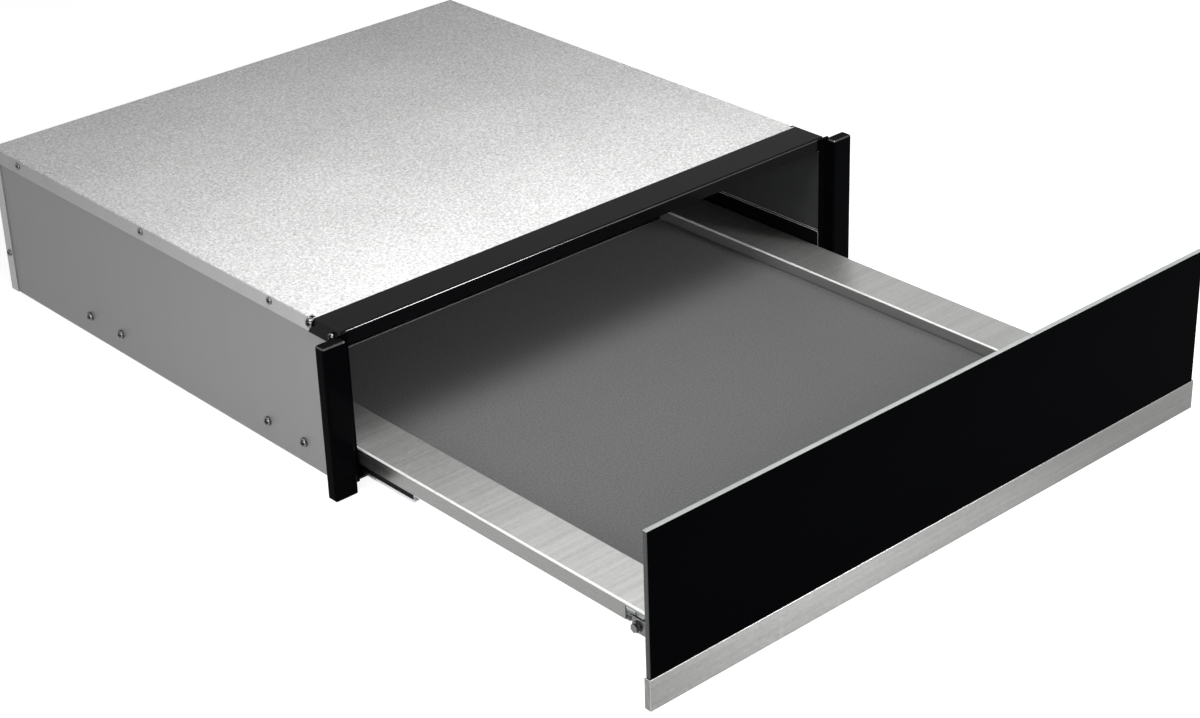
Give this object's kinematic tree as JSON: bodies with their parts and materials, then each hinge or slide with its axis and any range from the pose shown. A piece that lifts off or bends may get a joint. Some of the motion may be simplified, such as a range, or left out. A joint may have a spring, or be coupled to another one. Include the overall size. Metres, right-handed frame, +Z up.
{
  "type": "built-in warming drawer",
  "caption": "Built-in warming drawer standing open: a folded steel case with a warming cavity, and a shallow steel tray on telescopic runners behind a black glass front.",
  "frame": {"origin": "centre of the case's underside, where it rests on the niche floor", "axes": "+Z up; +Y from the front to the back of the case, so the drawer opens along -Y; +X to the right seen from the front"},
  "size_m": [0.594, 0.891, 0.142],
  "materials": {
    "galvanised_sheet": "galvanised sheet, fine speckle, satin",
    "side_sheet": "satin grey coated sheet",
    "black_enamel": "black enamel, half gloss",
    "black_frame": "black paint, gloss",
    "zinc_runner": "bright zinc plating",
    "cage_steel": "yellow passivated sheet with bright balls",
    "front_glass": "black glass, polished, ground edges",
    "strip_steel": "brushed stainless steel, grain along the length",
    "carrier_sheet": "dark grey coated plate",
    "tray_steel": "brushed stainless steel",
    "pan_steel": "plain galvanised sheet",
    "mat_rubber": "dark grey silicone, fine grain",
    "buffer_rubber": "black rubber",
    "knob_plastic": "black, fine grain",
    "switch_plastic": "black, half gloss",
    "lamp_plastic": "amber lens",
    "phenolic": "cream moulded resin",
    "copper_probe": "bare copper",
    "wire_sleeve": "white glass-fibre sleeve",
    "fan_sheet": "plain sheet",
    "motor_steel": "dark core with a pale coil",
    "heater_steel": "heat-tinted tube",
    "shaft_steel": "ground steel",
    "plunger_plastic": "pale grey",
    "screw_steel": "bright zinc plating"
  },
  "bodies": {
    "chassis": {"top_cover": "galvanised_sheet", "side_panel_left": "side_sheet", "side_panel_right": "side_sheet", "back_panel": "galvanised_sheet", "base_pan": "galvanised_sheet", "side_liner_left": "black_enamel", "side_liner_right": "black_enamel", "cavity_ceiling": "black_enamel", "duct_panel": "black_enamel", "bay_floor": "black_enamel", "top_rail": "black_frame", "lower_rail": "black_frame", "side_trim_left": "black_frame", "side_trim_right": "black_frame", "runner_brackets": "zinc_runner", "fixed_runner_left": "zinc_runner", "fixed_runner_right": "zinc_runner", "fan_motor": "motor_steel", "heater_ring": "heater_steel", "temperature_limiter": "phenolic", "terminal_block": "phenolic", "cable_gland": "buffer_rubber", "case_wiring": "wire_sleeve", "latch_body": "switch_plastic", "latch_spring": "shaft_steel", "runner_screws": "screw_steel", "cover_screws": "screw_steel", "rail_screws": "screw_steel", "back_screws": "screw_steel", "motor_screws": "screw_steel"},
    "slide_middle": {"middle_runner_left": "zinc_runner", "middle_runner_right": "zinc_runner"},
    "outer_cages": {"outer_ball_cages": "cage_steel"},
    "inner_cages": {"inner_ball_cages": "cage_steel"},
    "drawer": {"drawer_runner_left": "zinc_runner", "drawer_runner_right": "zinc_runner", "front_glass": "front_glass", "front_strip": "strip_steel", "front_carrier": "carrier_sheet", "panel_brackets": "zinc_runner", "adjusting_bolts": "screw_steel", "rubber_buffers": "buffer_rubber", "drawer_tray": "tray_steel", "tray_mat": "mat_rubber", "drawer_pan": "pan_steel", "control_strip": "tray_steel", "thermostat_body": "phenolic", "thermostat_probe": "copper_probe", "switch_body": "switch_plastic", "indicator_lamp": "lamp_plastic", "drawer_wiring": "wire_sleeve", "control_screws": "screw_steel"},
    "knob": {"thermostat_shaft": "shaft_steel", "thermostat_knob": "knob_plastic"},
    "rocker": {"power_rocker": "switch_plastic"},
    "fan_rotor": {"fan_wheel": "fan_sheet", "fan_shaft": "shaft_steel"},
    "plunger": {"latch_plunger": "plunger_plastic"}
  },
  "joints": [
    {"name": "drawer_slide", "type": "slide", "parent": "chassis", "child": "drawer", "axis": [0, -1, 0], "range_m": [-0.3535, 0.0465]},
    {"name": "middle_slide", "type": "slide", "parent": "chassis", "child": "slide_middle", "axis": [0, -1, 0], "range_m": [-0.1768, 0.0233]},
    {"name": "outer_cage_slide", "type": "slide", "parent": "chassis", "child": "outer_cages", "axis": [0, -1, 0], "range_m": [-0.0884, 0.0117]},
    {"name": "inner_cage_slide", "type": "slide", "parent": "chassis", "child": "inner_cages", "axis": [0, -1, 0], "range_m": [-0.2652, 0.0349]},
    {"name": "fan_spin", "type": "hinge", "parent": "chassis", "child": "fan_rotor", "pos_m": [0, 0.225, 0.085], "axis": [0, 1, 0], "continuous": true},
    {"name": "knob_turn", "type": "hinge", "parent": "drawer", "child": "knob", "pos_m": [0.15, -0.5995, 0.045], "axis": [0, 0, -1], "range_deg": [0, 270]},
    {"name": "rocker_tilt", "type": "hinge", "parent": "drawer", "child": "rocker", "pos_m": [0.096, -0.5995, 0.0359], "axis": [0, 1, 0], "range_deg": [0, 14]},
    {"name": "latch_push", "type": "slide", "parent": "chassis", "child": "plunger", "axis": [0, 1, 0], "range_m": [0, 0.0035], "stiffness_N_per_m": 600, "deforming": ["latch_spring"]}
  ],
  "couplings": [
    {"joint": "middle_slide", "follows": "drawer_slide", "ratio": 0.5},
    {"joint": "outer_cage_slide", "follows": "drawer_slide", "ratio": 0.25},
    {"joint": "inner_cage_slide", "follows": "drawer_slide", "ratio": 0.75}
  ]
}
